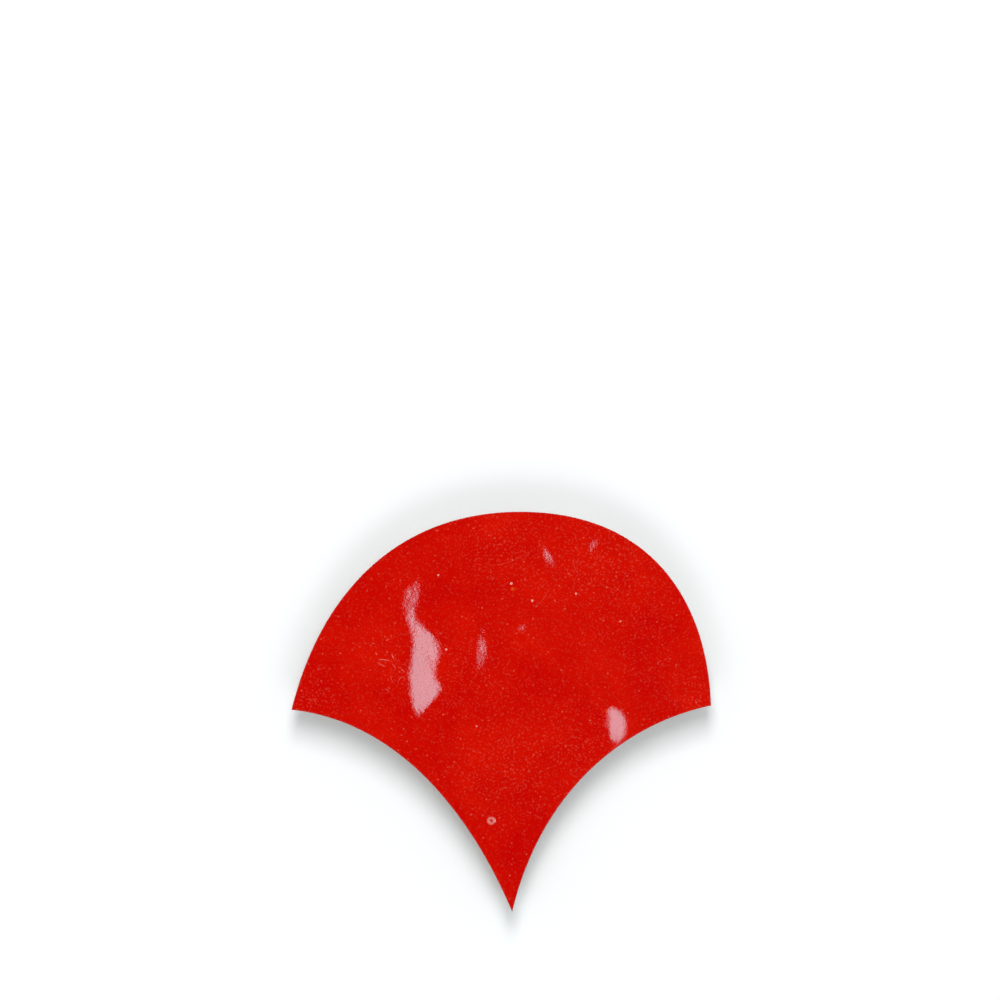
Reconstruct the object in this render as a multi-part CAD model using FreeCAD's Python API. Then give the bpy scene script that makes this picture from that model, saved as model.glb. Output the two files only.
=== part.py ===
"""Hand-cut fish scale wall tile: an arched head over two hollow flanks that meet in a tip.

One piece of fired clay, glazed on its face. Sizes are in millimetres and angles in degrees.
X runs across the tile, Y from the tip up to the crown, and Z from the back up to the glazed face.
The origin is on the back, under the middle of the outline's bounding box.
"""

import FreeCAD, Part

import math
import os
from collections import namedtuple

from FreeCAD import Vector

# Overall size: corner to corner, crown to tip, and back to the highest point of the face.
WIDTH = 100.0
HEIGHT = 95.4
THICKNESS = 11.0

# Places of the corners. The rises are above mid-height, and the shifts to the right of mid-width.
LEFT_CORNER_RISE = 0.5
RIGHT_CORNER_RISE = 1.5
CROWN_SHIFT = 4.5
TIP_SHIFT = 2.6

# Shoulders: they lean inwards from upright at a corner, and run level over the crown.
# A pull is how far an edge keeps to its first direction before it bends away.
LEFT_SHOULDER_LEAN = 13.7
LEFT_SHOULDER_PULL = 27.3
LEFT_CROWN_PULL = 30.3
RIGHT_CROWN_PULL = 32.7
RIGHT_SHOULDER_LEAN = 1.8
RIGHT_SHOULDER_PULL = 23.2

# Flanks: they drop below level at a corner, and lean out from upright at the tip.
RIGHT_FLANK_DROP = 12.1
RIGHT_FLANK_PULL = 23.0
RIGHT_TIP_LEAN = 13.3
RIGHT_TIP_PULL = 27.9
LEFT_TIP_LEAN = 22.8
LEFT_TIP_PULL = 23.4
LEFT_FLANK_DROP = 6.1
LEFT_FLANK_PULL = 26.7

# Section of the cut edge: a narrow eased arris round the face, an upright land below it, and then a
# bevel that runs in to the back.
ARRIS_EASE = 0.2
LAND_DEPTH = 3.0
BACK_INSET = 2.2

# Waves of the glazed face: two trains cross at a skew, and their deepest hollow lies WAVE_DEPTH low.
WAVE_DEPTH = 0.5
WAVE_LENGTH_ACROSS = 100.0
WAVE_LENGTH_ALONG = 84.0
WAVE_SKEW = 25.0
WAVE_SPANS = 10

# How far the solid that pares the face down to its waves stands clear of the tile.
PARING_MARGIN = 5.0

# A corner of the outline: the edge before it and the edge after it, each as the angle in which it
# leaves the corner and its pull. Seen from the corner, the clay lies from back_angle to ahead_angle.
Corner = namedtuple("Corner", "place back_angle back_pull ahead_angle ahead_pull")


def corners():
    """The corners of the face, clockwise from the left one."""
    return [
        Corner(
            Vector(-WIDTH / 2, LEFT_CORNER_RISE, 0),
            -LEFT_FLANK_DROP,
            LEFT_FLANK_PULL,
            90 - LEFT_SHOULDER_LEAN,
            LEFT_SHOULDER_PULL,
        ),
        Corner(
            Vector(CROWN_SHIFT, HEIGHT / 2, 0),
            180,
            LEFT_CROWN_PULL,
            360,
            RIGHT_CROWN_PULL,
        ),
        Corner(
            Vector(WIDTH / 2, RIGHT_CORNER_RISE, 0),
            90 + RIGHT_SHOULDER_LEAN,
            RIGHT_SHOULDER_PULL,
            180 + RIGHT_FLANK_DROP,
            RIGHT_FLANK_PULL,
        ),
        Corner(
            Vector(TIP_SHIFT, -HEIGHT / 2, 0),
            90 - RIGHT_TIP_LEAN,
            RIGHT_TIP_PULL,
            90 + LEFT_TIP_LEAN,
            LEFT_TIP_PULL,
        ),
    ]


def towards(start, angle, distance):
    """The point at a distance from start, in a direction counted from +X."""
    turn = math.radians(angle)
    return start + Vector(math.cos(turn), math.sin(turn), 0) * distance


def inset_place(corner, inset):
    """Where a corner comes to lie when both its edges move inwards by inset."""
    middle = (corner.back_angle + corner.ahead_angle) / 2
    half = math.radians(corner.ahead_angle - corner.back_angle) / 2
    return towards(corner.place, middle, inset / math.sin(half))


def outline(inset, height):
    """The tile's outline at a height, drawn in by inset from the outline of the face."""
    edges = []
    ring = corners()
    for start, end in zip(ring, ring[1:] + ring[:1]):
        first = inset_place(start, inset)
        last = inset_place(end, inset)
        shrink = first.distanceToPoint(last) / start.place.distanceToPoint(end.place)
        curve = Part.BezierCurve()
        curve.setPoles(
            [
                first,
                towards(first, start.ahead_angle, start.ahead_pull * shrink),
                towards(last, end.back_angle, end.back_pull * shrink),
                last,
            ]
        )
        edges.append(curve.toShape())
    wire = Part.Wire(edges)
    wire.translate(Vector(0, 0, height))
    return wire


def blank(top):
    """The tile cut to its outline and still flat on top: a bevelled foot under an upright land."""
    sections = [
        outline(BACK_INSET, 0),
        outline(0, THICKNESS - LAND_DEPTH),
        outline(0, top),
    ]
    return Part.makeLoft(sections, True, True)


def face_height(x, y):
    """Height of the glazed face at a place on the tile."""
    skew = math.radians(WAVE_SKEW)
    across = x * math.cos(skew) + y * math.sin(skew)
    along = y * math.cos(skew) - x * math.sin(skew)
    swing_across = math.cos(2 * math.pi * across / WAVE_LENGTH_ACROSS)
    swing_along = math.cos(2 * math.pi * along / WAVE_LENGTH_ALONG)
    return THICKNESS - WAVE_DEPTH * (2 - swing_across - swing_along) / 4


def paring(top):
    """Everything above the wavy face, up past the top of the blank."""
    reach_x = WIDTH / 2 + PARING_MARGIN
    reach_y = HEIGHT / 2 + PARING_MARGIN
    steps = [2 * step / WAVE_SPANS - 1 for step in range(WAVE_SPANS + 1)]
    surface = Part.BSplineSurface()
    surface.interpolate(
        [
            [Vector(reach_x * i, reach_y * j, face_height(reach_x * i, reach_y * j)) for j in steps]
            for i in steps
        ]
    )
    return surface.toShape().extrude(Vector(0, 0, top))


def fish_scale_tile():
    """The finished tile: the blank, pared to its wavy face, with the arris round that face eased."""
    top = THICKNESS + PARING_MARGIN
    tile = blank(top).cut(paring(top))
    rim = [edge for edge in tile.Edges if edge.BoundBox.ZMin > THICKNESS - LAND_DEPTH / 2]
    return tile.makeChamfer(ARRIS_EASE, rim).Solids[0]


os.makedirs("parts", exist_ok=True)
fish_scale_tile().exportStep("parts/fish_scale_tile.step")
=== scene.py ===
"""Looks of the fish scale tile: its glazed face, its cut clay edge and back, and the studio round it.

Lengths are in metres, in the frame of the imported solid: X across the tile, Y from the tip to the crown,
and Z up from the back. Values in millimetres carry MM or say so, and angles are in degrees.
"""

import math
from collections import namedtuple

import bpy
import numpy as np
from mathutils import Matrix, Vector, noise
from mathutils.geometry import delaunay_2d_cdt


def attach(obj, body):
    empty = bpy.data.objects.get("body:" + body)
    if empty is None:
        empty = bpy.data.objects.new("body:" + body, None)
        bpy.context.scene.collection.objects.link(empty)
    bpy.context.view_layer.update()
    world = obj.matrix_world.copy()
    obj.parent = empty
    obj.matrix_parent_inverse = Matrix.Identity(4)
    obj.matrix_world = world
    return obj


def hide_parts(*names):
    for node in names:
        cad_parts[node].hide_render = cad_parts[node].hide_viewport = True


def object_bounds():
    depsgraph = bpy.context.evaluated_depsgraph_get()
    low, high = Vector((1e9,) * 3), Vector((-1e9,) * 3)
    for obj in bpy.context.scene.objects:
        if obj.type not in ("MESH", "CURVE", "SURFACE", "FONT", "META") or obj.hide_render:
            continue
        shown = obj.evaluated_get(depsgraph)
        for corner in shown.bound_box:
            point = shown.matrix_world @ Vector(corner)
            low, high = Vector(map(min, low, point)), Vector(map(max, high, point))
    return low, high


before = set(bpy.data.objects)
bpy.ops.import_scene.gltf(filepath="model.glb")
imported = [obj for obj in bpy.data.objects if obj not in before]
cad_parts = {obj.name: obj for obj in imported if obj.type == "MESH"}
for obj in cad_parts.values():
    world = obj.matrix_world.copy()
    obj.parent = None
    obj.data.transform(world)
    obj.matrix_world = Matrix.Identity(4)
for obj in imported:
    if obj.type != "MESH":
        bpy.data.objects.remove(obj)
CAD_LOW, CAD_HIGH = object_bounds()

MM = 0.001
TILE = "fish_scale_tile"
SEED = 20

# Section of the cut edge: a fine arris, an upright land, then a bevel in to the back. The glaze covers the
# arris and ends broken on the first row of the land.
ARRIS = 0.2 * MM
LAND_DEPTH = 3.0 * MM
LAND_ROWS = 7
BEVEL_ROWS = 18
ARRIS_RINGS = 2
GLAZED_ROWS = 2
BROKEN_GLAZE = 0.6

# Broad waves of the face, the same two trains as on the solid, and the finer peel of the glaze.
# The face lies a little lower than the solid's, so that its swells stay inside the solid's box.
RELIEF_ROOM = 0.18 * MM
FACE_TOP = CAD_HIGH.z - RELIEF_ROOM
WAVE_DEPTH = 0.5 * MM
WAVE_LENGTH_ACROSS = 100.0 * MM
WAVE_LENGTH_ALONG = 84.0 * MM
WAVE_SKEW = 25.0
PEEL_DEPTH = 0.008 * MM
PEEL_SIZE = 2.2 * MM
PEEL_OCTAVES = 2

# Stretches of glaze that lean to the right and so throw the strip lamp back. Each is drawn by rows from
# its lower to its upper end: Y, left side and right side in millimetres, and lean in degrees.
LONG_SWELL = [
    (-2.8, -20.0, -20.0, 4.2),
    (0.2, -21.3, -17.9, 4.4),
    (2.4, -22.1, -15.8, 4.5),
    (5.6, -22.8, -13.6, 4.5),
    (8.6, -23.0, -14.7, 4.4),
    (11.2, -22.8, -14.4, 4.4),
    (14.2, -22.3, -13.4, 4.5),
    (16.8, -22.1, -14.0, 4.5),
    (20.2, -22.6, -17.6, 4.0),
    (23.6, -23.9, -19.5, 3.6),
    (26.6, -24.4, -18.8, 3.2),
    (29.4, -23.6, -18.5, 3.0),
    (32.5, -19.8, -19.8, 2.6),
]
MIDDLE_SWELL = [
    (7.0, -5.0, -5.0, 4.0),
    (11.2, -6.3, -3.4, 4.2),
    (13.8, -6.6, -2.7, 4.2),
    (17.4, -6.1, -3.1, 4.2),
    (21.8, -4.5, -4.5, 4.0),
]
RIGHT_SWELL = [
    (-8.9, 27.4, 27.4, 2.6),
    (-7.2, 26.7, 28.3, 2.8),
    (-5.4, 25.9, 29.3, 2.9),
    (-3.0, 25.4, 29.9, 2.9),
    (-1.2, 25.3, 29.4, 2.9),
    (0.2, 25.4, 28.4, 2.8),
    (1.8, 26.4, 26.4, 2.6),
]
UPPER_SWELL = [
    (33.0, 11.7, 11.7, 3.0),
    (35.4, 10.8, 12.4, 3.2),
    (37.1, 10.0, 12.1, 3.2),
    (38.8, 9.6, 11.2, 3.1),
    (41.0, 9.9, 9.9, 2.9),
]
OUTER_SWELL = [
    (37.0, 20.8, 20.8, 3.0),
    (38.6, 20.6, 22.0, 3.2),
    (40.2, 21.4, 23.0, 3.2),
    (42.0, 23.0, 23.0, 3.0),
]
SMALL_SWELL = [
    (17.4, 4.4, 4.4, 4.0),
    (19.0, 3.9, 5.4, 4.2),
    (20.1, 4.1, 5.8, 4.2),
    (21.6, 5.2, 5.2, 4.0),
]
SWELLS = [LONG_SWELL, MIDDLE_SWELL, RIGHT_SWELL, UPPER_SWELL, OUTER_SWELL, SMALL_SWELL]

# In millimetres, how softly a swell bends at its sides and how far out it fades, and how much further out
# for each millimetre of its width.
SWELL_SOFT = 1.3
SWELL_REACH = 4.0
SWELL_REACH_BY_WIDTH = 1.5

# Places where the glaze is thick with fine bubbles and looks hazy, and where its painted sparkle of glints
# is strong, as round the swells, in millimetres.
HazeAndSparkle = namedtuple("HazeAndSparkle", "x y radius strength")
HAZE_AND_SPARKLE_PLACES = [
    HazeAndSparkle(23.6, 36.2, 9.0, 0.8),
    HazeAndSparkle(6.9, 33.8, 9.0, 0.4),
    HazeAndSparkle(-2.7, 41.0, 9.0, 0.5),
    HazeAndSparkle(0.9, -12.6, 10.0, 0.8),
    HazeAndSparkle(18.8, -7.9, 9.0, 0.7),
    HazeAndSparkle(-4.6, 10.0, 8.0, 0.5),
    HazeAndSparkle(-18.4, 10.0, 8.0, 0.5),
    HazeAndSparkle(-24.6, 9.5, 4.0, 0.7),
    HazeAndSparkle(-45.1, 2.8, 6.0, 0.8),
    HazeAndSparkle(46.2, 4.0, 5.0, 0.6),
    HazeAndSparkle(33.0, 22.0, 14.0, 0.4),
]

# Small craters that bubbles left in the glaze, in millimetres. Relief, bare and pale are shares: how high
# the rim stands, how far clay shows in the middle, and how white the broken rim is; on the first crater
# that white also paints part of its glint.
Crater = namedtuple("Crater", "x y radius relief bare pale")
CRATERS = [
    # This crater is partly painted: its white rim fills out the crescents of glint that the rim throws
    # back.
    Crater(-2.45, -25.95, 0.65, 1.0, 0.0, 0.35),
    Crater(2.4, 30.6, 0.19, 0.0, 0.0, 1.0),
    Crater(2.7, 29.3, 0.6, 0.0, 0.9, 0.0),
    Crater(7.4, 26.5, 0.18, 0.0, 0.0, 1.0),
    Crater(17.8, 28.2, 0.16, 0.0, 0.0, 0.8),
    Crater(-15.0, 32.6, 0.16, 0.0, 0.0, 0.7),
    Crater(-13.1, 14.9, 0.17, 0.0, 0.0, 0.8),
    Crater(25.2, 0.2, 0.35, 0.0, 0.7, 0.0),
    Crater(28.4, 21.6, 0.15, 0.0, 0.0, 0.6),
    Crater(-5.9, -3.4, 0.15, 0.0, 0.0, 0.5),
]

# Form of a crater, and the rings and spokes on which the mesh has points for it, all for a radius of 1.
CRATER_STEEPNESS = 0.06
CRATER_RIM = 0.5
CRATER_BOWL = 0.1
CRATER_BOWL_SLOPE = 2
CRATER_PALE_RIM = 0.7
CRATER_RINGS = (0.2, 0.4, 0.6, 0.8, 1.0, 1.2, 1.4, 1.7)
CRATER_SPOKES = 16

# Hair scratches in the glaze, in millimetres: both ends and how far the middle bows to the left. The
# strength is a share: how pale the scratch is in its middle.
Scratch = namedtuple("Scratch", "x0 y0 x1 y1 bow strength")
SCRATCHES = [
    Scratch(-3.0, 35.0, 6.4, 38.2, -0.9, 0.06),
    Scratch(17.2, 37.2, 19.1, 32.1, -0.7, 0.08),
    Scratch(23.2, 30.9, 27.5, 28.8, -0.1, 0.06),
    Scratch(11.5, 29.7, 7.6, 24.6, 0.5, 0.07),
    Scratch(-30.0, 14.2, -29.6, 13.5, 0.0, 0.5),
    Scratch(-29.4, 12.5, -26.5, 12.2, 0.1, 0.42),
    Scratch(-29.6, 11.8, -27.4, 10.8, -0.1, 0.3),
    Scratch(-26.1, 14.0, -25.5, 12.5, -0.1, 0.5),
    Scratch(-26.2, 11.6, -25.1, 10.0, 0.2, 0.25),
    Scratch(-24.0, 10.2, -23.0, 9.6, 0.0, 0.42),
    Scratch(-24.6, 7.2, -23.0, 8.5, 0.3, 0.25),
    Scratch(-26.3, 8.8, -25.4, 6.7, -0.3, 0.15),
    Scratch(-27.7, 5.6, -26.8, 5.0, 0.0, 0.35),
    Scratch(-27.5, 17.0, -26.8, 17.3, 0.0, 0.42),
    Scratch(-31.0, 16.5, -30.1, 16.2, 0.0, 0.3),
]
SCRATCH_HALF_WIDTH = 0.1 * MM
SCRATCH_DEPTH = 0.004 * MM
SCRATCH_STEP = 0.25 * MM
SCRATCH_FEWEST_POINTS = 4

# Scoops that the chisel left round the cut edge, and the grain of the broken clay. Both grow with the depth
# below the arris and die out towards the corners.
SCOOP_WIDTHS = (2.5 * MM, 6.5 * MM)
SCOOP_DEPTHS = (0.08 * MM, 0.45 * MM)
SCOOP_OVERLAP = 1.12
SCOOP_SLANT = 0.5
SCOOP_START = 0.6 * MM
SCOOP_FULL = 2.5 * MM
CORNER_CALM = 7.0 * MM
GRAIN_DEPTH = 0.12 * MM
GRAIN_SIZE = 1.1 * MM

# Unevenness of the back: shallow hollows, and drag marks across it.
BACK_DEPTH = 0.16 * MM
BACK_SIZE = 7.0 * MM
DRAG_DEPTH = 0.09 * MM
DRAG_SPACING = 1.3 * MM
DRAG_LENGTH = 16.0 * MM
DRAG_OCTAVES = 2

# Noise of several sizes: how many there are, how much finer each is than the one before, and by what power
# of that it is weaker.
NOISE_OCTAVES = 4
NOISE_RATIO = 2.0
NOISE_FADE = 1.0

# Reading the outline from the solid's mesh: how near a level a point lies, how many decimals of a metre
# tell two points apart, and from what turn on a bend counts as a corner.
LEVEL_SLACK = 0.05 * MM
POINT_DECIMALS = 7
CORNER_TURN = 40.0

# Spacing of the mesh on the face, round the edge and on the back. The clearance from a rim is counted in
# steps. The last two tell Blender's fill to keep only what is inside, and which points to take as one.
FACE_STEP = 0.42 * MM
WALL_STEP = 0.45 * MM
BACK_STEP = 0.62 * MM
RIM_CLEARANCE = 0.6
FILL_INSIDE = 1
FILL_MERGE = 1e-9

# Areas of the texture map: left, bottom, width and height.
FACE_AREA = (0.01, 0.01, 0.69, 0.98)
BACK_AREA = (0.72, 0.01, 0.27, 0.46)
EDGE_AREA = (0.72, 0.49, 0.27, 0.5)
EDGE_STRIPS = 7
EDGE_STRIP_FILL = 0.9

# Colours of the glaze: its two reds, the pale pink of its bubbles and specks, which also paints the glints
# that sparkle on them, its scuffs, whose white on one crater also paints part of a glint, and where it is
# thin over the clay.
DEEP_RED = (0.58, 0.0008, 0.0, 1)
WARM_RED = (0.69, 0.0055, 0.0, 1)
BUBBLE_AND_GLINT_PINK = (0.8, 0.15, 0.1, 1)
SCUFF_AND_GLINT_PALE = (0.95, 0.6, 0.52, 1)
THIN_ORANGE = (0.78, 0.1, 0.01, 1)

# Fine grain of the glaze, whose pale bubbles and specks also stand as painted glints. Scales are in waves a
# metre, and a range is the part of a noise that is used.
# The grain is turned, so that the face doesn't cut it along its cells.
GRAIN_TURN = (35.0, 25.0, 30.0)
MOTTLE_SCALE = 45.0
MOTTLE_DETAIL = 6.0
MOTTLE_HARSHNESS = 0.75
MOTTLE_RANGE = (0.35, 0.65)
SPARKLE_BUBBLE_SCALE = 2000.0
SPARKLE_BUBBLE_DETAIL = 1.0
SPARKLE_BUBBLE_RANGE = (0.55, 0.82)
SPARKLE_BUBBLES_PLAIN = 0.15
SPARKLE_BUBBLES_HAZY = 0.45
GLINT_SPECK_SCALE = 900.0
GLINT_SPECK_SIZE = 0.25
GLINT_SPECK_RARITY = 4.5
RIPPLE_SCALE = 1700.0
RIPPLE_DETAIL = 2.0
RIPPLE_HEIGHT = 0.01 * MM

# Gloss of the glaze.
GLAZE_ROUGHNESS = 0.045
SCRATCH_ROUGHNESS = 0.4
GLAZE_IOR = 1.5

# Colours and grain of the bare clay.
CLAY_DARK = (0.4, 0.31, 0.23, 1)
CLAY_PALE = (0.58, 0.48, 0.37, 1)
CLAY_CLOUD_SCALE = 90.0
CLAY_CLOUD_DETAIL = 5.0
CLAY_CLOUD_RANGE = (0.3, 0.7)
CLAY_GRAIN_SCALE = 1500.0
CLAY_GRAIN_DETAIL = 6.0
CLAY_GRAIN_HARSHNESS = 0.65
CLAY_GRAIN_HEIGHT = 0.1 * MM
CLAY_ROUGHNESS = 0.9

# Sockets by number, because names repeat on Blender's mix node: the share, both colours and the result.
MIX_SHARE = 0
MIX_FIRST = 6
MIX_SECOND = 7
MIX_RESULT = 2

# The picture: its real width at the face, its middle, and how high the camera hangs. The sensor's width is
# in millimetres, as Blender counts it.
PICTURE_WIDTH = 238.3 * MM
PICTURE_CENTRE = (-0.3 * MM, 50.5 * MM)
CAMERA_HEIGHT = 4.0
SENSOR_WIDTH = 36.0

# Floor: its colour as seen, and as it lights the tile from below.
FLOOR_SIZE = 40.0
FLOOR_DROP = 0.02 * MM
FLOOR_SEEN = (1.035, 1.037, 1.045, 1)
FLOOR_BOUNCE = (0.4, 0.4, 0.4, 1)

# The sky's brightness by height, from level to straight up: dark overhead, where the face looks.
SKY_LEVEL = 0.55
SKY_STOPS = [(0.0, 0.3), (0.35, 1.0), (0.84, 1.0), (0.93, 0.012), (1.0, 0.012)]

# Soft lamps beyond the crown and beyond the tip. A share is a lamp's part of the light on the face.
SoftLamp = namedtuple("SoftLamp", "name place width length share")
SOFT_LAMPS = [
    SoftLamp("key", (0.0, 0.68, 1.33), 0.46, 0.9, 0.46),
    SoftLamp("fill", (0.0, -1.0, 1.1), 1.0, 0.7, 0.14),
]

# The strip lamp that the glaze mirrors, and its dimmer inner edge. A shine is a lamp's own brightness.
StripLamp = namedtuple("StripLamp", "name x width shine")
STRIP_LAMPS = [
    StripLamp("strip", 0.56, 0.35, 7.9),
    StripLamp("strip_edge", 0.335, 0.1, 2.4),
]
STRIP_Y = 0.1
STRIP_LENGTH = 0.9
STRIP_COLOUR = (0.45, 0.95, 1.07)
WHITE = (1, 1, 1)


# Outline of the tile, read from the solid's mesh


def ring_at(level):
    """The solid's outline at a level, counter-clockwise, as points in X and Y."""
    points = np.array([vertex.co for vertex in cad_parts[TILE].data.vertices])
    ring = points[np.abs(points[:, 2] - level) < LEVEL_SLACK][:, :2]
    ring = np.unique(ring.round(POINT_DECIMALS), axis=0)
    return ring[np.argsort(np.arctan2(ring[:, 1], ring[:, 0]))]


def steps_at(ring):
    """The step that leads to each point of a ring, and the one that leads on from it."""
    ahead = np.roll(ring, -1, axis=0) - ring
    return np.roll(ahead, 1, axis=0), ahead


def edges_of(ring):
    """The ring cut at its sharp corners: right flank, arched head, left flank."""
    behind, ahead = steps_at(ring)
    turn = np.arctan2(
        behind[:, 0] * ahead[:, 1] - behind[:, 1] * ahead[:, 0],
        (behind * ahead).sum(axis=1),
    )
    sharp = np.flatnonzero(np.abs(turn) > math.radians(CORNER_TURN))
    tip = sharp[np.argmin(ring[sharp, 1])]
    ring = np.roll(ring, -tip, axis=0)
    cuts = sorted((sharp - tip) % len(ring)) + [len(ring)]
    closed = np.vstack([ring, ring[:1]])
    return [closed[start : end + 1] for start, end in zip(cuts, cuts[1:])]


def lengths_along(points):
    """The way along a line to each of its points."""
    steps = np.linalg.norm(np.diff(points, axis=0), axis=1)
    return np.concatenate([[0], np.cumsum(steps)])


def curve_at(along, points, at):
    """A smooth curve through points that stand at known ways along it, read at other ways."""
    tangent = np.gradient(points, along, axis=0, edge_order=2)
    left = np.clip(np.searchsorted(along, at, side="right") - 1, 0, len(points) - 2)
    span = (along[left + 1] - along[left])[:, None]
    t = (at - along[left])[:, None] / span
    return (
        (2 * t**3 - 3 * t**2 + 1) * points[left]
        + (t**3 - 2 * t**2 + t) * span * tangent[left]
        + (3 * t**2 - 2 * t**3) * points[left + 1]
        + (t**3 - t**2) * span * tangent[left + 1]
    )


def smooth_along(points, count):
    """Evenly spaced points on a smooth curve through the given ones, without the last."""
    along = lengths_along(points)
    return curve_at(along, points, np.linspace(0, along[-1], count, endpoint=False))


def matched_rings():
    """The outlines of the land and of the back, point for point, and each point's way to a corner."""
    land_edges = edges_of(ring_at(CAD_HIGH.z - LAND_DEPTH))
    back_edges = edges_of(ring_at(CAD_LOW.z))
    counts = [round(lengths_along(edge)[-1] / WALL_STEP) for edge in land_edges]
    land = np.vstack([smooth_along(edge, count) for edge, count in zip(land_edges, counts)])
    back = np.vstack([smooth_along(edge, count) for edge, count in zip(back_edges, counts)])
    to_corner = [np.minimum(np.arange(count), count - np.arange(count)) for count in counts]
    return land, back, np.concatenate(to_corner) * WALL_STEP


def inward(ring):
    """Steps that move each point of a ring inwards, so that its edges move by one unit."""
    behind, ahead = steps_at(ring)
    ahead /= np.linalg.norm(ahead, axis=1)[:, None]
    behind /= np.linalg.norm(behind, axis=1)[:, None]
    middle = ahead + behind
    normal = np.column_stack([-middle[:, 1], middle[:, 0]])
    return 2 * normal / (normal**2).sum(axis=1)[:, None]


# Relief of the glazed face


def fractal(points, size, octaves=NOISE_OCTAVES):
    """Noise of several sizes at points in space, about 0 and within about 1."""
    return np.array([noise.fractal(Vector(p) / size, NOISE_FADE, NOISE_RATIO, octaves) for p in points])


def level_points(x, y):
    """Points in space at height 0."""
    return np.column_stack([x, y, np.zeros(len(x))])


def radii_from(mark, x, y):
    """How far places lie from the middle of a round mark, counted in its radius."""
    return np.hypot(x / MM - mark.x, y / MM - mark.y) / mark.radius


def broad_waves(x, y):
    """How far the solid's own waves lie below the top of the face."""
    skew = math.radians(WAVE_SKEW)
    across = x * math.cos(skew) + y * math.sin(skew)
    along = y * math.cos(skew) - x * math.sin(skew)
    swing_across = np.cos(2 * math.pi * across / WAVE_LENGTH_ACROSS)
    swing_along = np.cos(2 * math.pi * along / WAVE_LENGTH_ALONG)
    return WAVE_DEPTH * (2 - swing_across - swing_along) / 4


def log_cosh(t):
    """The curve whose slope runs from -1 to 1 through a soft bend."""
    return np.abs(t) + np.log1p(np.exp(-2 * np.abs(t))) - math.log(2)


def swell_height(swell, x, y):
    """One swell: an even lean between two soft bends, fading out beyond them."""
    rows = np.array(swell)
    at = np.clip(y / MM, rows[0, 0], rows[-1, 0])
    left, right, lean = curve_at(rows[:, 0], rows[:, 1:], at).T
    # Near a pointed end the curves of the two sides can cross.
    right = np.maximum(left, right)
    bends = log_cosh((x / MM - left) / SWELL_SOFT) - log_cosh((x / MM - right) / SWELL_SOFT)
    off = x / MM - (left + right) / 2
    reach = SWELL_REACH + SWELL_REACH_BY_WIDTH * (right - left)
    return -np.radians(lean) * SWELL_SOFT / 2 * bends * MM * np.exp(-((off / reach) ** 2))


def crater_height(crater, x, y):
    """One crater: a raised rim round a shallow bowl."""
    way = radii_from(crater, x, y)
    rim = np.exp(-((way - 1) ** 2) / CRATER_RIM)
    bowl = np.exp(-CRATER_BOWL_SLOPE * way**2)
    return crater.relief * crater.radius * MM * CRATER_STEEPNESS * (rim - CRATER_BOWL * bowl)


def face_height(x, y):
    """Height of the glazed face, without its scratches."""
    swells = sum(swell_height(swell, x, y) for swell in SWELLS)
    craters = sum(crater_height(crater, x, y) for crater in CRATERS)
    peel = PEEL_DEPTH * fractal(level_points(x, y), PEEL_SIZE, PEEL_OCTAVES)
    return FACE_TOP - broad_waves(x, y) + swells + craters + peel


def haze_and_sparkle_at(x, y):
    """How hazy the glaze is and how strongly its glints are painted, from 0 to 1."""
    haze_and_sparkle = np.zeros(len(x))
    for place in HAZE_AND_SPARKLE_PLACES:
        haze_and_sparkle += place.strength * np.exp(-(radii_from(place, x, y) ** 2))
    return np.minimum(haze_and_sparkle, 1)


def crater_points(crater):
    """Extra points of the mesh round a crater, with how bare each is and how white its rim; that white can
    also paint part of a glint.
    """
    spokes = np.linspace(0, 2 * math.pi, CRATER_SPOKES, endpoint=False)
    turn = np.append(0, np.tile(spokes, len(CRATER_RINGS)))
    way = np.append(0, np.repeat(CRATER_RINGS, CRATER_SPOKES))
    off = crater.radius * way * np.array([np.cos(turn), np.sin(turn)])
    bare = crater.bare * np.maximum(0, 1 - way)
    scuff_and_glint = crater.pale * np.maximum(0, 1 - np.abs(way - 1) / CRATER_PALE_RIM)
    return (off.T + (crater.x, crater.y)) * MM, bare, scuff_and_glint


def scratch_points(scratch):
    """Extra points of the mesh along a scratch, in three rows, with how bare and how scuffed each is."""
    start = np.array([scratch.x0, scratch.y0]) * MM
    run = np.array([scratch.x1, scratch.y1]) * MM - start
    length = np.linalg.norm(run)
    side = np.array([-run[1], run[0]]) / length
    t = np.linspace(0, 1, max(SCRATCH_FEWEST_POINTS, round(length / SCRATCH_STEP)))[:, None]
    middle = start + t * run + 4 * t * (1 - t) * side * scratch.bow * MM
    scuff_and_glint = scratch.strength * np.sqrt(np.sin(math.pi * t[:, 0]))
    rows = [middle, middle + side * SCRATCH_HALF_WIDTH, middle - side * SCRATCH_HALF_WIDTH]
    none = np.zeros(len(scuff_and_glint))
    return np.vstack(rows), np.tile(none, len(rows)), np.concatenate([scuff_and_glint, none, none])


# Mesh of the tile


def hex_points(low, high, step):
    """Points in rows, each row shifted by half a step against the next."""
    rows = np.arange(low[1], high[1], step * math.sqrt(3) / 2)
    columns = np.arange(low[0], high[0], step)
    shift = (np.arange(len(rows)) % 2)[:, None] * step / 2
    x = columns[None, :] + shift
    y = np.broadcast_to(rows[:, None], x.shape)
    return np.column_stack([x.ravel(), y.ravel()])


def inside(points, ring):
    """Which points lie inside a ring."""
    x, y = points[:, 0], points[:, 1]
    found = np.zeros(len(points), bool)
    for (ax, ay), (bx, by) in zip(ring, np.roll(ring, -1, axis=0)):
        if ay == by:
            continue
        crosses = (ay > y) != (by > y)
        found ^= crosses & (x < ax + (y - ay) * (bx - ax) / (by - ay))
    return found


def clear_of(points, others, gap):
    """Which points lie at least a gap away from all the others."""
    clear = np.ones(len(points), bool)
    for other in others:
        clear &= ((points - other) ** 2).sum(axis=1) > gap**2
    return clear


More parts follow.
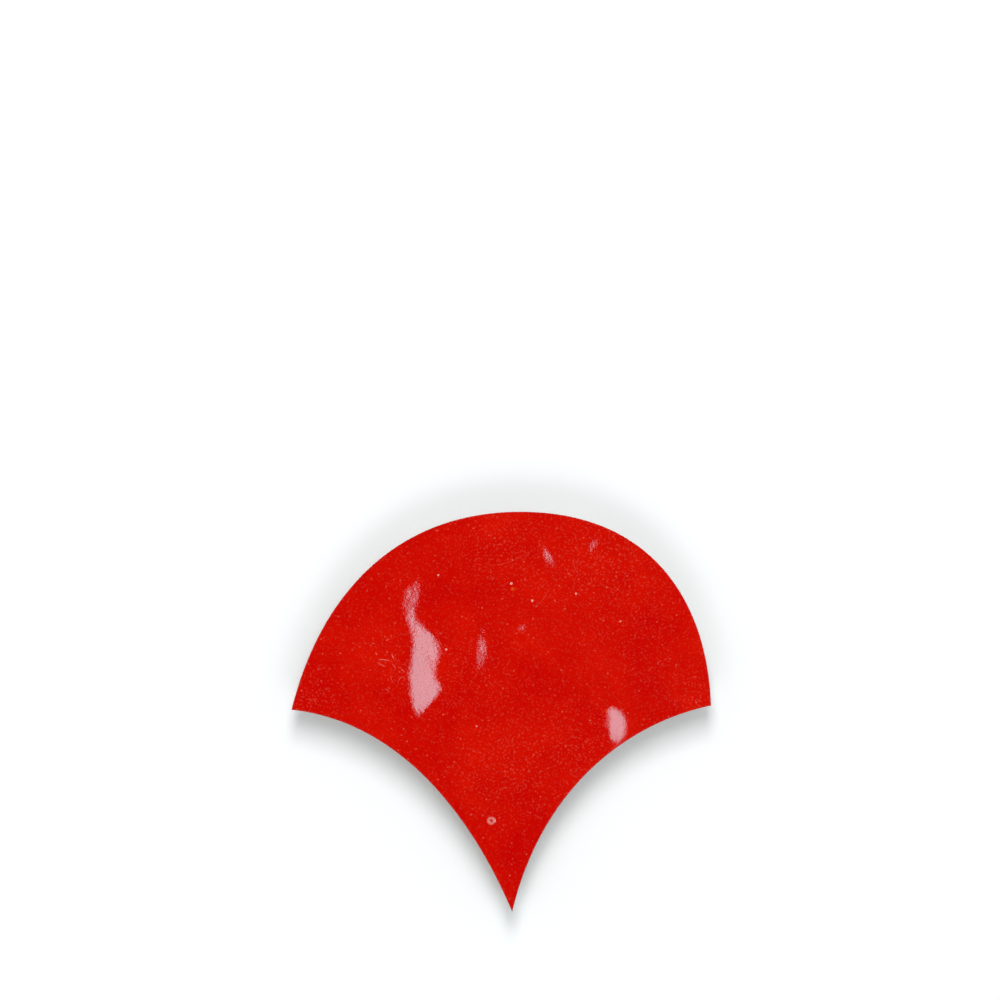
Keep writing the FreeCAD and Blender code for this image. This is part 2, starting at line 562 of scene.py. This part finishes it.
def filled(ring, step, extra):
    """Triangles that fill a ring. The ring's own points come first, then the extra ones."""
    points = hex_points(ring.min(axis=0), ring.max(axis=0), step)
    points = points[inside(points, ring + inward(ring) * step * RIM_CLEARANCE)]
    points = points[clear_of(points, extra, step * RIM_CLEARANCE)]
    everything = np.vstack([ring, extra, points])
    places = [Vector(p) for p in everything]
    border = list(range(len(ring)))
    _, _, triangles, *_ = delaunay_2d_cdt(places, [], [border], FILL_INSIDE, FILL_MERGE)
    return everything, [tuple(triangle) for triangle in triangles]


def glazed_face(ring):
    """Points and triangles of the face, with how scuffed and how bare each point is; the scuff also carries
    a painted glint on one crater.
    """
    marks = [crater_points(crater) for crater in CRATERS]
    marks += [scratch_points(scratch) for scratch in SCRATCHES]
    extra, extra_bare, extra_scuff_and_glint = [np.concatenate(parts) for parts in zip(*marks)]
    flat, triangles = filled(ring, FACE_STEP, extra)
    inner = slice(len(ring), len(ring) + len(extra))
    bare = np.zeros(len(flat))
    scuff_and_glint = np.zeros(len(flat))
    bare[inner] = extra_bare
    scuff_and_glint[inner] = extra_scuff_and_glint
    height = face_height(flat[:, 0], flat[:, 1]) - SCRATCH_DEPTH * scuff_and_glint
    return np.column_stack([flat, height]), triangles, scuff_and_glint, bare


def eased(value, low, high):
    """A smooth rise from 0 at low to 1 at high."""
    t = np.clip((value - low) / (high - low), 0, 1)
    return t * t * (3 - 2 * t)


def scoops(way_round, draw):
    """Places, half widths, depths and slants of the chisel's scoops, in order round the edge."""
    made = []
    at = 0.0
    while at < way_round:
        width = draw.uniform(*SCOOP_WIDTHS)
        depth = draw.uniform(*SCOOP_DEPTHS)
        made.append((at + width / 2, width / 2 * SCOOP_OVERLAP, depth, draw.normal() * SCOOP_SLANT))
        at += width
    return made


def scooped(along, below, way_round, strokes):
    """How deep the chisel's strokes went at places along the edge and below its arris."""
    depth = np.zeros(len(along))
    for middle, half, most, slant in strokes:
        off = along - middle - slant * (below - SCOOP_FULL)
        off = (off + way_round / 2) % way_round - way_round / 2
        depth = np.maximum(depth, most * (1 - (off / half) ** 2))
    return depth


def plain_edge(land, back, top):
    """Rows of points down the land and the bevel, before the chisel's marks."""
    base = CAD_HIGH.z - LAND_DEPTH
    rows = []
    for share in np.linspace(0, 1, LAND_ROWS):
        rows.append(np.column_stack([land, top + (base - top) * share]))
    for share in np.linspace(0, 1, BEVEL_ROWS)[1:]:
        height = np.full(len(land), base + (CAD_LOW.z - base) * share)
        rows.append(np.column_stack([land + (back - land) * share, height]))
    return rows


def cut_edge(land, back, to_corner):
    """Rows of points down the cut edge, from the rim of the face to the rim of the back."""
    step_in = inward(land)
    rim = land + step_in * ARRIS
    top = face_height(land[:, 0], land[:, 1]) - ARRIS
    rows = plain_edge(land, back, top)
    along = np.arange(len(land)) * WALL_STEP
    way_round = len(land) * WALL_STEP
    strokes = scoops(way_round, np.random.default_rng(SEED))
    calm = eased(to_corner, 0, CORNER_CALM)
    for row in rows:
        below = top - row[:, 2]
        grain = GRAIN_DEPTH * (1 + fractal(row, GRAIN_SIZE)) / 2
        depth = scooped(along, below, way_round, strokes) * eased(below, SCOOP_START, SCOOP_FULL)
        depth += grain * eased(below, 0, SCOOP_START)
        row[:, :2] += step_in * (np.maximum(depth, 0) * calm)[:, None]
    return [np.column_stack([rim, face_height(rim[:, 0], rim[:, 1])])] + rows


def back_face(ring):
    """Points and triangles of the back. It lies on the floor round its rim and in most places."""
    flat, triangles = filled(ring, BACK_STEP, np.empty((0, 2)))
    x, y = flat.T
    hollows = BACK_DEPTH * np.maximum(0, fractal(level_points(x, y), BACK_SIZE))
    drags = fractal(level_points(x / DRAG_LENGTH, y / DRAG_SPACING), size=1, octaves=DRAG_OCTAVES)
    height = CAD_LOW.z + hollows + DRAG_DEPTH * np.maximum(0, drags)
    height[: len(ring)] = CAD_LOW.z
    return np.column_stack([flat, height]), [tuple(reversed(face)) for face in triangles]


def edge_quads(starts, count):
    """Faces between rows of points, which begin at the given vertices."""
    quads = []
    for upper, lower in zip(starts, starts[1:]):
        for here in range(count):
            beside = (here + 1) % count
            quads.append((upper + here, lower + here, lower + beside, upper + beside))
    return quads


def tile_mesh():
    """The whole tile as one closed mesh: face, cut edge and back."""
    land, back, to_corner = matched_rings()
    rows = cut_edge(land, back, to_corner)
    count = len(land)
    face, face_triangles, scuff_and_glint, bare = glazed_face(rows[0][:, :2])
    under, back_triangles = back_face(rows[-1][:, :2])
    starts = [0] + [len(face) + row * count for row in range(len(rows) - 1)]
    quads = edge_quads(starts, count)
    back_triangles = [tuple(starts[-1] + i for i in triangle) for triangle in back_triangles]
    vertices = np.vstack([face] + rows[1:] + [under[count:]])
    mesh = bpy.data.meshes.new("glazed_tile")
    mesh.from_pydata(vertices.tolist(), [], face_triangles + quads + back_triangles)
    mark_glazed(mesh, len(face_triangles) + GLAZED_ROWS * count)
    mark_sharp(mesh, starts[:ARRIS_RINGS], count)
    add_wear(mesh, face, scuff_and_glint, bare, count)
    edge_map = edge_places(len(starts) - 1, count)
    add_map(mesh, vertices[:, :2], 3 * len(face_triangles), edge_map)
    return mesh


def mark_glazed(mesh, glazed):
    """Puts the glaze on the first faces and the clay on the rest, all of them smooth."""
    mesh.polygons.foreach_set("material_index", np.arange(len(mesh.polygons)) >= glazed)
    mesh.polygons.foreach_set("use_smooth", np.ones(len(mesh.polygons), bool))


def mark_sharp(mesh, starts, count):
    """Makes the rings that begin at these vertices sharp edges."""
    ends = np.empty(len(mesh.edges) * 2, np.int32)
    mesh.edges.foreach_get("vertices", ends)
    ends = ends.reshape(-1, 2)
    sharp = np.zeros(len(ends), bool)
    for start in starts:
        sharp |= ((ends >= start) & (ends < start + count)).all(axis=1)
    mesh.edges.foreach_set("use_edge_sharp", sharp)


def add_values(mesh, name, values):
    """Stores a value for each of the first vertices, and 0 for the rest."""
    padded = np.zeros(len(mesh.vertices), np.float32)
    padded[: len(values)] = values
    mesh.attributes.new(name, "FLOAT", "POINT").data.foreach_set("value", padded)


def add_wear(mesh, face, scuff_and_glint, bare, count):
    """Stores how scuffed, bare and hazy the glaze is; the scuff also carries a painted glint on one crater,
    and the haze how strongly glints are painted. It is whole at the arris and broken a row below.
    """
    broken = np.concatenate([np.zeros(count), np.full(count, BROKEN_GLAZE)])
    add_values(mesh, "scuff_and_glint", np.concatenate([scuff_and_glint, broken]))
    add_values(mesh, "bare", bare)
    add_values(mesh, "haze_and_sparkle", haze_and_sparkle_at(face[:, 0], face[:, 1]))


def fitted(points, area):
    """Points spread over an area of the texture map."""
    low = points.min(axis=0)
    return (points - low) / np.ptp(points, axis=0) * area[2:] + area[:2]


def edge_places(row_count, count):
    """Places on the texture map of the corners of the edge's faces, in strips above each other."""
    per_strip = math.ceil(count / EDGE_STRIPS)
    row, here = np.divmod(np.arange(row_count * count), count)
    strip, step = np.divmod(here, per_strip)
    left, bottom, width, height = EDGE_AREA
    corners = []
    for beside, lower in ((0, 0), (0, 1), (1, 1), (1, 0)):
        u = left + width * (step + beside) / per_strip
        v = bottom + height * (strip + EDGE_STRIP_FILL * (row + lower) / row_count) / EDGE_STRIPS
        corners.append(np.column_stack([u, v]))
    return np.stack(corners, axis=1).reshape(-1, 2)


def add_map(mesh, flat, face_loops, edge_map):
    """Lays out the texture map: the face, then the edge, then the back."""
    corners = np.empty(len(mesh.loops), np.int32)
    mesh.loops.foreach_get("vertex_index", corners)
    back_loops = face_loops + len(edge_map)
    places = np.empty((len(corners), 2), np.float32)
    places[:face_loops] = fitted(flat[corners[:face_loops]], FACE_AREA)
    places[face_loops:back_loops] = edge_map
    places[back_loops:] = fitted(flat[corners[back_loops:]], BACK_AREA)
    mesh.uv_layers.new(name="OFBake").data.foreach_set("uv", places.ravel())


# Materials


def add_node(tree, kind, inputs=None, **settings):
    """A new node with its settings, and its inputs set to values or linked to sockets."""
    made = tree.nodes.new(kind)
    for name, value in settings.items():
        setattr(made, name, value)
    for name, value in (inputs or {}).items():
        socket = made.inputs[name]
        if isinstance(value, bpy.types.NodeSocket):
            tree.links.new(value, socket)
        else:
            socket.default_value = value
    return made


def new_material(name):
    """A material with an empty tree, and that tree."""
    material = bpy.data.materials.new(name)
    material.use_nodes = True
    material.node_tree.nodes.clear()
    return material, material.node_tree


def finish_material(tree, shader):
    """Links a shader to the material's output."""
    output = add_node(tree, "ShaderNodeOutputMaterial")
    tree.links.new(shader, output.inputs["Surface"])


def noise_at(tree, place, scale, detail, roughness=0.5):
    """Noise whose scale is in waves a metre, as a socket from 0 to 1. Roughness is how harsh it is."""
    made = add_node(
        tree,
        "ShaderNodeTexNoise",
        {"Vector": place, "Scale": scale, "Detail": detail, "Roughness": roughness},
    )
    return made.outputs["Fac"]


def blend_colours(tree, share, first, second):
    """A colour between two, by a share from 0 to 1."""
    inputs = {MIX_SHARE: share, MIX_FIRST: first, MIX_SECOND: second}
    return add_node(tree, "ShaderNodeMix", inputs, data_type="RGBA").outputs[MIX_RESULT]


def rising(tree, value, low, high, start=0.0, end=1.0):
    """A value from start to end as another goes from low to high."""
    made = add_node(
        tree,
        "ShaderNodeMapRange",
        {"Value": value, "From Min": low, "From Max": high, "To Min": start, "To Max": end},
    )
    return made.outputs[0]


def times(tree, first, second):
    """The product of two values."""
    return add_node(tree, "ShaderNodeMath", {0: first, 1: second}, operation="MULTIPLY").outputs[0]


def stored(tree, name):
    """A value that the mesh stores."""
    return add_node(tree, "ShaderNodeAttribute", attribute_name=name).outputs["Fac"]


def dots(tree, place, scale, size, rarity):
    """Small balls strewn through the glaze, pale specks that also stand as painted glints, from 0 to 1
    pale. The rarer, the fewer of them are pale.
    """
    cells = add_node(tree, "ShaderNodeTexVoronoi", {"Vector": place, "Scale": scale})
    chance = add_node(tree, "ShaderNodeSeparateColor", {0: cells.outputs["Color"]}).outputs[0]
    height = add_node(tree, "ShaderNodeMath", {0: chance, 1: rarity}, operation="POWER").outputs[0]
    return times(tree, height, rising(tree, cells.outputs["Distance"], size, 0.0))


def glaze_material():
    """Glossy red glass with mottling, scratches, and pale bubbles and specks that also paint the glints
    sparkling on it.
    """
    material, tree = new_material("red_glaze")
    straight = add_node(tree, "ShaderNodeTexCoord").outputs["Object"]
    turn = [math.radians(angle) for angle in GRAIN_TURN]
    place = add_node(tree, "ShaderNodeMapping", {"Vector": straight, "Rotation": turn}).outputs[0]
    clouds = noise_at(tree, place, MOTTLE_SCALE, MOTTLE_DETAIL, MOTTLE_HARSHNESS)
    mottle = rising(tree, clouds, *MOTTLE_RANGE)
    # Pale bubbles and specks, partly real and partly painted glints: the sparkle of tiny facets that catch
    # the lamps.
    bubbles_and_sparkle = rising(tree, noise_at(tree, place, SPARKLE_BUBBLE_SCALE, SPARKLE_BUBBLE_DETAIL), *SPARKLE_BUBBLE_RANGE)
    specks_and_glints = dots(tree, place, GLINT_SPECK_SCALE, GLINT_SPECK_SIZE, GLINT_SPECK_RARITY)
    # The haze also sets how strong the painted sparkle of glints is.
    amount = rising(tree, stored(tree, "haze_and_sparkle"), 0.0, 1.0, SPARKLE_BUBBLES_PLAIN, SPARKLE_BUBBLES_HAZY)
    colour = blend_colours(tree, mottle, DEEP_RED, WARM_RED)
    colour = blend_colours(tree, times(tree, bubbles_and_sparkle, amount), colour, BUBBLE_AND_GLINT_PINK)
    colour = blend_colours(tree, specks_and_glints, colour, BUBBLE_AND_GLINT_PINK)
    # The white of scuffs and broken rims, which on the tip crater also paints part of its glint.
    colour = blend_colours(tree, stored(tree, "scuff_and_glint"), colour, SCUFF_AND_GLINT_PALE)
    colour = blend_colours(tree, stored(tree, "bare"), colour, THIN_ORANGE)
    ripple = noise_at(tree, place, RIPPLE_SCALE, RIPPLE_DETAIL)
    bump = add_node(tree, "ShaderNodeBump", {"Distance": RIPPLE_HEIGHT, "Height": ripple})
    roughness = rising(tree, stored(tree, "scuff_and_glint"), 0.0, 1.0, GLAZE_ROUGHNESS, SCRATCH_ROUGHNESS)
    shader = add_node(
        tree,
        "ShaderNodeBsdfPrincipled",
        {
            "Base Color": colour,
            "Roughness": roughness,
            "IOR": GLAZE_IOR,
            "Normal": bump.outputs["Normal"],
        },
    )
    finish_material(tree, shader.outputs["BSDF"])
    return material


def clay_material():
    """Dry fired clay, clouded and grainy."""
    material, tree = new_material("bare_clay")
    place = add_node(tree, "ShaderNodeTexCoord").outputs["Object"]
    cloud = rising(tree, noise_at(tree, place, CLAY_CLOUD_SCALE, CLAY_CLOUD_DETAIL), *CLAY_CLOUD_RANGE)
    colour = blend_colours(tree, cloud, CLAY_DARK, CLAY_PALE)
    grain = noise_at(tree, place, CLAY_GRAIN_SCALE, CLAY_GRAIN_DETAIL, CLAY_GRAIN_HARSHNESS)
    bump = add_node(tree, "ShaderNodeBump", {"Distance": CLAY_GRAIN_HEIGHT, "Height": grain})
    shader = add_node(
        tree,
        "ShaderNodeBsdfPrincipled",
        {"Base Color": colour, "Roughness": CLAY_ROUGHNESS, "Normal": bump.outputs["Normal"]},
    )
    finish_material(tree, shader.outputs["BSDF"])
    return material


def floor_material():
    """Brighter to the eye than to the tile that it lights."""
    material, tree = new_material("white_floor")
    path = add_node(tree, "ShaderNodeLightPath").outputs
    seen = add_node(tree, "ShaderNodeMath", {0: path["Is Camera Ray"], 1: path["Is Glossy Ray"]})
    seen = add_node(tree, "ShaderNodeMath", {0: seen.outputs[0], 1: path["Is Transmission Ray"]})
    plain = add_node(tree, "ShaderNodeBsdfDiffuse", {"Color": FLOOR_BOUNCE})
    bright = add_node(tree, "ShaderNodeBsdfDiffuse", {"Color": FLOOR_SEEN})
    mix = add_node(
        tree,
        "ShaderNodeMixShader",
        {0: seen.outputs[0], 1: plain.outputs[0], 2: bright.outputs[0]},
    )
    finish_material(tree, mix.outputs[0])
    return material


# The tile and the studio


def add_object(name, data):
    """A new object in the scene."""
    made = bpy.data.objects.new(name, data)
    bpy.context.scene.collection.objects.link(made)
    return made


def tile():
    """The finished tile, in place of the plain solid."""
    mesh = tile_mesh()
    mesh.materials.append(glaze_material())
    mesh.materials.append(clay_material())
    made = add_object("glazed_tile", mesh)
    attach(made, "root")
    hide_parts(TILE)


def floor():
    """A white floor just under the back."""
    half = FLOOR_SIZE / 2
    level = CAD_LOW.z - FLOOR_DROP
    mesh = bpy.data.meshes.new("floor")
    corners = [(-half, -half, level), (half, -half, level), (half, half, level), (-half, half, level)]
    mesh.from_pydata(corners, [], [(0, 1, 2, 3)])
    mesh.materials.append(floor_material())
    add_object("floor", mesh)


def sky():
    """Soft light from all round, with a dark patch overhead."""
    world = bpy.data.worlds.new("studio")
    bpy.context.scene.world = world
    world.use_nodes = True
    tree = world.node_tree
    tree.nodes.clear()
    direction = add_node(tree, "ShaderNodeTexCoord").outputs["Generated"]
    height = add_node(tree, "ShaderNodeSeparateXYZ", {0: direction}).outputs["Z"]
    ramp = add_node(tree, "ShaderNodeValToRGB", {0: height})
    stops = ramp.color_ramp.elements
    # A new ramp has its first and its last stop already.
    for position, _ in SKY_STOPS[1:-1]:
        stops.new(position)
    for stop, (position, level) in zip(stops, SKY_STOPS):
        stop.position = position
        stop.color = (level, level, level, 1)
    background = add_node(
        tree,
        "ShaderNodeBackground",
        {"Color": ramp.outputs["Color"], "Strength": SKY_LEVEL},
    )
    output = add_node(tree, "ShaderNodeOutputWorld")
    tree.links.new(background.outputs[0], output.inputs["Surface"])


def lamp(name, place, width, length, shine, colour=WHITE):
    """A lamp of an even brightness that faces straight down and stays out of the picture."""
    data = bpy.data.lights.new(name, "AREA")
    data.shape = "RECTANGLE"
    data.size = width
    data.size_y = length
    data.energy = shine * math.pi * width * length
    data.color = colour
    made = add_object(name, data)
    made.location = place
    made.visible_camera = False
    return made


def lamps():
    """Soft lamps that face the tile, and strip lamps high up on the right."""
    for soft in SOFT_LAMPS:
        place = Vector(soft.place)
        # The light on the level face falls with the square of the way and with the slant, z / length.
        shine = math.pi * soft.share * place.length**3 / (soft.width * soft.length * place.z)
        made = lamp(soft.name, place, soft.width, soft.length, shine)
        made.rotation_euler = (-place).to_track_quat("-Z", "Y").to_euler()
    for strip in STRIP_LAMPS:
        place = (strip.x, STRIP_Y, CAMERA_HEIGHT)
        lamp(strip.name, place, strip.width, STRIP_LENGTH, strip.shine, STRIP_COLOUR)


def camera():
    """A long lens that looks straight down."""
    data = bpy.data.cameras.new("camera")
    data.sensor_width = SENSOR_WIDTH
    data.lens = SENSOR_WIDTH * (CAMERA_HEIGHT - FACE_TOP) / PICTURE_WIDTH
    made = add_object("camera", data)
    made.location = (*PICTURE_CENTRE, CAMERA_HEIGHT)
    bpy.context.scene.camera = made


tile()
floor()
sky()
lamps()
camera()
bpy.context.scene.view_settings.view_transform = "Standard"
